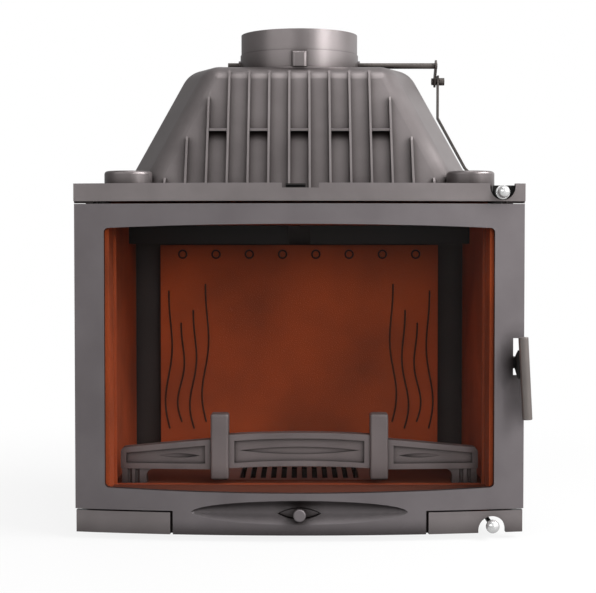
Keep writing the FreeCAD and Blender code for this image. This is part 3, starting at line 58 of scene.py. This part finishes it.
# Painted shade in recesses: its reach, and the openness at which it is at its darkest
PAINTED_SHADE_REACH = 0.035
PAINTED_SHADE_SAMPLES = 8
PAINTED_SHADE_FULL = 0.35
DOOR_PAINTED_SHADE_FULL = 0.68

# Mottling of the coated iron: noise scale and detail, and swing of the roughness
MOTTLE_SCALE = 14.0
MOTTLE_DETAIL = 4.0
ROUGH_SWING = 0.06

# Fine grain of cast surfaces
GRAIN_HEIGHT = 0.0006
GRAIN_DETAIL = 3.0

# Darker tone on faces that look up: where it starts and is full, as the normal's Z, and its greatest share
UPWARD_DARK_START = 0.3
UPWARD_DARK_FULL = 0.9
UPWARD_DARK_SHARE = 0.85

# Scorched part of the front frame with a painted glow of firelight, either side of the middle
SCORCH_GLOW_HALF = 0.3
SCORCH_GLOW_FADE = 0.008

# Beads on the fire back plate: the share of their radius by which the axis stands before the plate
BEAD_RADIUS = 0.0016
BEAD_PROUD = 0.3

# Row of ring marks
RING_COUNT = 8
RING_EDGE = 0.04
RING_DROP = 0.0166
RING_R = 0.0075
RING_POINTS = 10

# Wavy beads: places, heights, and a wave, in radians from foot to top, whose swing fades upwards
WAVE_COUNT = 4
WAVE_EDGE = 0.016
WAVE_PITCH = 0.022
WAVE_LOW = 0.05
WAVE_STAGGER = 0.012
WAVE_TALL = 0.25
WAVE_STEP = 0.035
WAVE_SWING = 0.009
WAVE_TURN = 7.5
WAVE_FOOT_SHARE = 1.15
WAVE_POINTS = 12

# Surround: its light, and how bright metal and glass see it from the left side to the right
WORLD_LIGHT = 0.12
WORLD_TINT = (1.0, 0.985, 0.97, 1)
WHITE = (1, 1, 1, 1)
DIM_SIDE = 0.25
DIM_SIDE_X = -0.5
BRIGHT_SIDE = 0.9
BRIGHT_SIDE_X = 0.9

# Floor: its share of plain white near the object and the radii between which that share grows to 1
FLOOR_SIZE = 30.0
FLOOR_NEAR = 0.86
FLOOR_NEAR_R = 0.45
FLOOR_FAR_R = 1.5
FLOOR_MIRRORED = 0.4
FLOOR_PALE = (0.9, 0.9, 0.9, 1)


def srgb(r, g, b):
    def linear(c):
        c = c / 255
        return c / 12.92 if c <= 0.04045 else ((c + 0.055) / 1.055) ** 2.4
    return (linear(r), linear(g), linear(b), 1.0)


# Tones of the surfaces, a darker and a paler one where they are mottled
# Colour of the painted shade in recesses
PAINTED_SHADE_TONE = srgb(96, 88, 86)
CAST_TONES = srgb(128, 121, 121), srgb(140, 133, 133)
DOOR_TONES = srgb(105, 99, 101), srgb(114, 108, 110)
GUARD_TONES = srgb(120, 111, 111), srgb(134, 124, 124)
BLACK_TONES = srgb(30, 27, 26), srgb(40, 36, 35)
GRIP_TONES = srgb(124, 117, 114), srgb(136, 128, 124)
STEEL_TONES = srgb(96, 90, 87), srgb(114, 108, 104)
ZINC_TONES = srgb(160, 160, 160), srgb(180, 180, 178)
# Dark scale, which on the beads paints the shade of cast grooves
SCALE_AND_GROOVE_SHADE_TONES = srgb(58, 34, 26), srgb(76, 44, 32)
SEAL_TONES = srgb(42, 40, 39), srgb(58, 55, 53)
IRON_TONES = srgb(66, 61, 60), srgb(78, 72, 71)
# Rust brown raised to orange: partly real rust, partly painted glow of firelight
RUST_AND_FIRE_GLOW_TONES = srgb(204, 84, 34), srgb(222, 100, 46)
# Scorched brown raised to orange: painted glow of firelight
SCORCH_AND_FIRE_GLOW_TONES = srgb(156, 66, 31), srgb(174, 77, 38)
SOOT_TONE = srgb(62, 40, 32)
CHROME_TONES = srgb(236, 236, 236), srgb(248, 248, 248)
HAZE_TONES = srgb(24, 18, 16), srgb(34, 26, 22)
FLOOR_TONES = srgb(120, 120, 120), srgb(128, 128, 128)


# Helpers that add shader nodes
def new_material(name):
    material = bpy.data.materials.new(name)
    material.use_nodes = True
    return material, material.node_tree.nodes, material.node_tree.links


def noise(nodes, links, scale, detail):
    coords = nodes.new("ShaderNodeTexCoord")
    texture = nodes.new("ShaderNodeTexNoise")
    texture.inputs["Scale"].default_value = scale
    texture.inputs["Detail"].default_value = detail
    links.new(coords.outputs["Object"], texture.inputs["Vector"])
    return texture.outputs["Fac"]


def ramp(nodes, links, factor, low, high, start=0.3, end=0.7):
    node = nodes.new("ShaderNodeValToRGB")
    node.color_ramp.elements[0].position = start
    node.color_ramp.elements[0].color = low
    node.color_ramp.elements[1].position = end
    node.color_ramp.elements[1].color = high
    links.new(factor, node.inputs["Fac"])
    return node.outputs["Color"]


def spread(nodes, links, value, low, high, start=0.0, end=1.0, curve="LINEAR"):
    node = nodes.new("ShaderNodeMapRange")
    node.interpolation_type = curve
    node.inputs["From Min"].default_value = start
    node.inputs["From Max"].default_value = end
    node.inputs["To Min"].default_value = low
    node.inputs["To Max"].default_value = high
    links.new(value, node.inputs["Value"])
    return node.outputs["Result"]


def grain(nodes, links, height, strength):
    node = nodes.new("ShaderNodeBump")
    node.inputs["Strength"].default_value = strength
    node.inputs["Distance"].default_value = GRAIN_HEIGHT
    links.new(height, node.inputs["Height"])
    return node.outputs["Normal"]


def along(nodes, links, vector, axis):
    node = nodes.new("ShaderNodeSeparateXYZ")
    links.new(vector, node.inputs["Vector"])
    return node.outputs[axis]


def greater(nodes, links, first, second):
    node = nodes.new("ShaderNodeMath")
    node.operation = "MAXIMUM"
    links.new(first, node.inputs[0])
    links.new(second, node.inputs[1])
    return node.outputs["Value"]


def scaled(nodes, links, value, factor):
    node = nodes.new("ShaderNodeMath")
    node.operation = "MULTIPLY"
    links.new(value, node.inputs[0])
    if isinstance(factor, float):
        node.inputs[1].default_value = factor
    else:
        links.new(factor, node.inputs[1])
    return node.outputs["Value"]


def colour_mix(nodes):
    node = nodes.new("ShaderNodeMix")
    node.data_type = "RGBA"
    return node


def shader_mix(nodes, links, factor, first, second):
    node = nodes.new("ShaderNodeMixShader")
    links.new(factor, node.inputs["Fac"])
    links.new(first, node.inputs[1])
    links.new(second, node.inputs[2])
    return node.outputs["Shader"]


# Coated iron: a mottled colour with painted shade in recesses, a mottled roughness and a fine grain
def painted_recess_shade(nodes, links, colour, shade_darkest):
    # Painted shade: ambient occlusion darkens the base colour where the surface is closed in
    shade_probe = nodes.new("ShaderNodeAmbientOcclusion")
    shade_probe.samples = PAINTED_SHADE_SAMPLES
    shade_probe.inputs["Distance"].default_value = PAINTED_SHADE_REACH
    shaded_colour = colour_mix(nodes)
    shaded_colour.blend_type = "MULTIPLY"
    shaded_colour.inputs["Factor"].default_value = 1.0
    links.new(colour, shaded_colour.inputs["A"])
    shade = ramp(nodes, links, shade_probe.outputs["AO"], PAINTED_SHADE_TONE, WHITE, start=shade_darkest, end=1.0)
    links.new(shade, shaded_colour.inputs["B"])
    return shaded_colour.outputs["Result"]


def coated(name, tones, rough, metallic, grain_scale=900.0, grain_strength=0.12, shade_darkest=PAINTED_SHADE_FULL):
    material, nodes, links = new_material(name)
    shader = nodes["Principled BSDF"]
    shader.inputs["Metallic"].default_value = metallic
    broad = noise(nodes, links, MOTTLE_SCALE, MOTTLE_DETAIL)
    fine = noise(nodes, links, grain_scale, GRAIN_DETAIL)
    colour = ramp(nodes, links, broad, *tones)
    roughness = spread(nodes, links, broad, rough - ROUGH_SWING, rough + ROUGH_SWING)
    links.new(painted_recess_shade(nodes, links, colour, shade_darkest), shader.inputs["Base Color"])
    links.new(roughness, shader.inputs["Roughness"])
    links.new(grain(nodes, links, fine, grain_strength), shader.inputs["Normal"])
    return material


# Fired iron: rust brown with a painted orange glow of firelight, soot in broad patches, and darker on faces
# that look up
def upward(nodes, links):
    # Share of the dark tone by how far the face looks up
    geometry = nodes.new("ShaderNodeNewGeometry")
    rise = along(nodes, links, geometry.outputs["Normal"], "Z")
    return spread(nodes, links, rise, low=0.0, high=UPWARD_DARK_SHARE, start=UPWARD_DARK_START, end=UPWARD_DARK_FULL)


def fired_iron():
    material, nodes, links = new_material("fire_plate_finish")
    shader = nodes["Principled BSDF"]
    broad = noise(nodes, links, scale=6.0, detail=5.0)
    fine = noise(nodes, links, scale=420.0, detail=GRAIN_DETAIL)
    patches = spread(nodes, links, broad, low=-0.2, high=1.0)
    soot = colour_mix(nodes)
    soot.inputs["B"].default_value = SOOT_TONE
    # The dark tone falls on broad patches and on faces that look up
    links.new(greater(nodes, links, patches, upward(nodes, links)), soot.inputs["Factor"])
    # Rust brown with the painted glow of firelight
    links.new(ramp(nodes, links, fine, *RUST_AND_FIRE_GLOW_TONES), soot.inputs["A"])
    links.new(soot.outputs["Result"], shader.inputs["Base Color"])
    links.new(spread(nodes, links, broad, low=0.62, high=0.8), shader.inputs["Roughness"])
    links.new(grain(nodes, links, fine, strength=0.3), shader.inputs["Normal"])
    return material


# Front frame: scorched and with a painted glow of firelight around the mouth, iron grey outside
def beside_mouth(nodes, links):
    coords = nodes.new("ShaderNodeTexCoord")
    side = nodes.new("ShaderNodeMath")
    side.operation = "ABSOLUTE"
    links.new(along(nodes, links, coords.outputs["Object"], "X"), side.inputs[0])
    reach = SCORCH_GLOW_HALF + SCORCH_GLOW_FADE
    return spread(nodes, links, side.outputs["Value"], low=0.0, high=1.0, start=SCORCH_GLOW_HALF, end=reach)


def jamb_finish():
    material, nodes, links = new_material("jamb_finish")
    shader = nodes["Principled BSDF"]
    broad = noise(nodes, links, MOTTLE_SCALE, MOTTLE_DETAIL)
    colour = colour_mix(nodes)
    links.new(beside_mouth(nodes, links), colour.inputs["Factor"])
    # Painted glow of firelight on the scorched part
    links.new(ramp(nodes, links, broad, *SCORCH_AND_FIRE_GLOW_TONES), colour.inputs["A"])
    links.new(ramp(nodes, links, broad, *IRON_TONES), colour.inputs["B"])
    links.new(colour.outputs["Result"], shader.inputs["Base Color"])
    links.new(spread(nodes, links, broad, low=0.55, high=0.7), shader.inputs["Roughness"])
    return material


# Chrome with faint smudges
def chrome_finish():
    material, nodes, links = new_material("chrome_finish")
    shader = nodes["Principled BSDF"]
    shader.inputs["Metallic"].default_value = 0.75
    smudge = noise(nodes, links, scale=120.0, detail=3.0)
    links.new(ramp(nodes, links, smudge, *CHROME_TONES), shader.inputs["Base Color"])
    links.new(spread(nodes, links, smudge, low=0.2, high=0.3), shader.inputs["Roughness"])
    return material


# Clear glass with a thin brown haze
def glass_finish():
    material, nodes, links = new_material("glass_finish")
    shader = nodes["Principled BSDF"]
    shader.inputs["Alpha"].default_value = 0.07
    haze = noise(nodes, links, scale=6.0, detail=2.0)
    links.new(ramp(nodes, links, haze, *HAZE_TONES), shader.inputs["Base Color"])
    links.new(spread(nodes, links, haze, low=0.03, high=0.08), shader.inputs["Roughness"])
    return material


# Finishes by material slot, with scale and jamb for single pieces
finishes = {
    "cast_grey": coated("cast_grey_finish", CAST_TONES, rough=0.34, metallic=0.7),
    # The door's painted recess shade is full already at a wider openness, so it is darker
    "door_grey": coated("door_grey_finish", DOOR_TONES, rough=0.45, metallic=0.3, shade_darkest=DOOR_PAINTED_SHADE_FULL),
    "fire_plate": fired_iron(),
    "guard_iron": coated("guard_iron_finish", GUARD_TONES, rough=0.42, metallic=0.3,
                         grain_scale=700.0, grain_strength=0.2),
    "carcass_iron": coated("carcass_iron_finish", IRON_TONES, rough=0.6, metallic=0.2),
    "black_metal": coated("black_metal_finish", BLACK_TONES, rough=0.5, metallic=0.2),
    "grip_grey": coated("grip_grey_finish", GRIP_TONES, rough=0.32, metallic=0.6),
    "steel": coated("steel_finish", STEEL_TONES, rough=0.4, metallic=0.7),
    "zinc": coated("zinc_finish", ZINC_TONES, rough=0.35, metallic=0.8),
    "scale": coated("scale_and_groove_shade_finish", SCALE_AND_GROOVE_SHADE_TONES, rough=0.7, metallic=0.0,
                    grain_scale=500.0, grain_strength=0.3),
    "jamb": jamb_finish(),
    "chrome": chrome_finish(),
    "glass": glass_finish(),
    "seal": coated("seal_finish", SEAL_TONES, rough=0.9, metallic=0.0,
                   grain_scale=260.0, grain_strength=0.5),
}

# Nodes whose finish differs from the rest of their slot
own_finish = {
    # The door's inner frame takes the fired iron, with its painted glow of firelight
    "door_inner_frame": "fire_plate",
    # Baffle plates and rails in black metal: dark iron, and dark also as painted shade of the firebox roof
    "baffle_plates": "black_metal",
    "baffle_rails": "black_metal",
    "front_frame": "jamb",
    "air_valve_leaf": "door_grey",
    "air_valve_knob": "door_grey",
}


def finish_nodes():
    slots = {row["node"]: row["material_slot"] for row in frame["record"]["subparts"]}
    for name, piece in frame["nodes"].items():
        piece.data.materials.clear()
        piece.data.materials.append(finishes[own_finish.get(name, slots[name])])


# Small round edges catch light as on a real casting
def round_edges():
    for name, piece in frame["nodes"].items():
        if name in UNROUNDED:
            continue
        bevel = piece.modifiers.new("edge", "BEVEL")
        bevel.width = WIDE_ROUND.get(name, EDGE_ROUND)
        bevel.segments = WIDE_SEGMENTS if name in WIDE_ROUND else EDGE_SEGMENTS
        bevel.limit_method = "ANGLE"
        bevel.angle_limit = math.radians(EDGE_ANGLE)


# Cast decoration on the fire back plate: a row of ring marks and wavy beads at both sides, dark in colour to
# paint the shade of cast grooves
def plate_face():
    low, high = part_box("fire_back_plate")
    return low, high, low[1] - BEAD_RADIUS * BEAD_PROUD


def bead(name, points, closed):
    curve = bpy.data.curves.new(name, "CURVE")
    curve.dimensions = "3D"
    curve.bevel_depth = BEAD_RADIUS
    curve.bevel_resolution = 2
    spline = curve.splines.new("NURBS")
    spline.points.add(len(points) - 1)
    for point, place in zip(spline.points, points):
        point.co = (*place, 1)
    spline.use_cyclic_u = closed
    spline.use_endpoint_u = not closed
    piece = bpy.data.objects.new(name, curve)
    bpy.context.scene.collection.objects.link(piece)
    # Dark scale finish: painted shade of the cast grooves
    curve.materials.append(finishes["scale"])
    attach(piece, "body")


def ring_marks():
    low, high, y = plate_face()
    z = high[2] - RING_DROP
    span = (high[0] - low[0]) / 2 - RING_EDGE
    turns = [2 * math.pi * k / RING_POINTS for k in range(RING_POINTS)]
    for i in range(RING_COUNT):
        x = span * (2 * i / (RING_COUNT - 1) - 1)
        ring = [(x + RING_R * math.cos(t), y, z + RING_R * math.sin(t)) for t in turns]
        bead(f"ring_mark_{i + 1}", ring, True)


def wavy_points(x, y, z, height, swing):
    points = []
    for k in range(WAVE_POINTS):
        share = k / (WAVE_POINTS - 1)
        shift = swing * math.sin(share * WAVE_TURN) * (WAVE_FOOT_SHARE - share)
        points.append((x + shift, y, z + height * share))
    return points


def wavy_beads():
    low, high, y = plate_face()
    half = (high[0] - low[0]) / 2
    for side, side_name in ((-1, "left"), (1, "right")):
        for i in range(WAVE_COUNT):
            x = side * (half - WAVE_EDGE - WAVE_PITCH * i)
            z = low[2] + WAVE_LOW + WAVE_STAGGER * (i % 2)
            height = WAVE_TALL - WAVE_STEP * ((i * 2) % 3)
            bead(f"wavy_bead_{side_name}_{i + 1}", wavy_points(x, y, z, height, side * WAVE_SWING), False)


# Rays that see the surround and the floor: in a reflection, or straight from the camera and through glass
def seeing_rays(nodes, links):
    path = nodes.new("ShaderNodeLightPath")
    straight = greater(nodes, links, path.outputs["Is Camera Ray"], path.outputs["Is Transmission Ray"])
    return path.outputs["Is Glossy Ray"], straight


# Surround: a soft light on the object, brighter to the right in reflections, and white behind the object
def side_shade(nodes, links):
    coords = nodes.new("ShaderNodeTexCoord")
    across = along(nodes, links, coords.outputs["Generated"], "X")
    return spread(nodes, links, across, low=DIM_SIDE, high=BRIGHT_SIDE,
                  start=DIM_SIDE_X, end=BRIGHT_SIDE_X, curve="SMOOTHSTEP")


def surround():
    world = bpy.data.worlds.new("studio")
    bpy.context.scene.world = world
    world.use_nodes = True
    nodes = world.node_tree.nodes
    links = world.node_tree.links
    light = nodes["Background"]
    light.inputs["Color"].default_value = WORLD_TINT
    light.inputs["Strength"].default_value = WORLD_LIGHT
    mirrored = nodes.new("ShaderNodeBackground")
    mirrored.inputs["Color"].default_value = WHITE
    links.new(side_shade(nodes, links), mirrored.inputs["Strength"])
    white = nodes.new("ShaderNodeBackground")
    white.inputs["Color"].default_value = WHITE
    glossy, straight = seeing_rays(nodes, links)
    room = shader_mix(nodes, links, glossy, light.outputs["Background"], mirrored.outputs["Background"])
    seen = shader_mix(nodes, links, straight, room, white.outputs["Background"])
    links.new(seen, nodes["World Output"].inputs["Surface"])


# Lamps: soft boxes, of which the front and back ones don't show in reflections
def area_light(name, place, target, size, power):
    data = bpy.data.lights.new(name, "AREA")
    data.shape = "RECTANGLE"
    data.size, data.size_y = size
    data.energy = power
    lamp = bpy.data.objects.new(name, data)
    bpy.context.scene.collection.objects.link(lamp)
    lamp.location = place
    lamp.rotation_euler = (Vector(target) - Vector(place)).to_track_quat("-Z", "Y").to_euler()
    return lamp


def lamps():
    area_light("key", place=(2.2, -1.9, 1.9), target=(0, 0, 0.5), size=(1.1, 1.3), power=54)
    area_light("side", place=(2.3, -0.5, 2.0), target=(0, 0, 0.6), size=(1.0, 1.0), power=50)
    area_light("top", place=(0.2, -0.3, 2.7), target=(0, 0, 0.6), size=(1.0, 0.8), power=8)
    front = area_light("front", place=(0.8, -3.3, 1.05), target=(0, 0, 0.3), size=(1.2, 0.8), power=40)
    back = area_light("back", place=(-0.4, 2.8, 1.8), target=(0, 0, 0.5), size=(2.2, 1.6), power=26)
    area_light("fill", place=(-1.6, -2.2, 1.7), target=(0.1, 0, 0.6), size=(3.2, 1.8), power=22)
    for lamp in (front, back):
        lamp.visible_glossy = False


# Floor: plain pale, with less plain white near the object, where its soft shadow falls
def floor_white(nodes, links):
    coords = nodes.new("ShaderNodeTexCoord")
    reach = nodes.new("ShaderNodeVectorMath")
    reach.operation = "LENGTH"
    links.new(coords.outputs["Object"], reach.inputs[0])
    return spread(nodes, links, reach.outputs["Value"], low=FLOOR_NEAR, high=1.0,
                  start=FLOOR_NEAR_R, end=FLOOR_FAR_R, curve="SMOOTHSTEP")


def floor_finish():
    material, nodes, links = new_material("floor_finish")
    shader = nodes["Principled BSDF"]
    shader.inputs["Roughness"].default_value = 0.9
    broad = noise(nodes, links, scale=2.0, detail=2.0)
    glossy, straight = seeing_rays(nodes, links)
    pale = colour_mix(nodes)
    pale.inputs["B"].default_value = FLOOR_PALE
    links.new(straight, pale.inputs["Factor"])
    links.new(ramp(nodes, links, broad, *FLOOR_TONES), pale.inputs["A"])
    links.new(pale.outputs["Result"], shader.inputs["Base Color"])
    white = nodes.new("ShaderNodeEmission")
    seen = scaled(nodes, links, floor_white(nodes, links), straight)
    mirrored = scaled(nodes, links, glossy, FLOOR_MIRRORED)
    share = greater(nodes, links, seen, mirrored)
    surface = shader_mix(nodes, links, share, shader.outputs["BSDF"], white.outputs["Emission"])
    links.new(surface, nodes["Material Output"].inputs["Surface"])
    return material


def floor():
    bpy.ops.mesh.primitive_plane_add(size=FLOOR_SIZE)
    plane = bpy.context.object
    plane.name = "floor"
    plane.data.materials.append(floor_finish())


def camera():
    data = bpy.data.cameras.new("camera")
    data.sensor_width = CAMERA_SENSOR
    data.lens = CAMERA_LENS
    piece = bpy.data.objects.new("camera", data)
    piece.location = (CAMERA_X, CAMERA_Y, CAMERA_Z)
    piece.rotation_euler = (math.radians(90 - CAMERA_PITCH), 0, 0)
    bpy.context.scene.collection.objects.link(piece)
    bpy.context.scene.camera = piece


finish_nodes()
round_edges()
ring_marks()
wavy_beads()
surround()
lamps()
floor()
camera()
bpy.context.scene.view_settings.view_transform = "Standard"
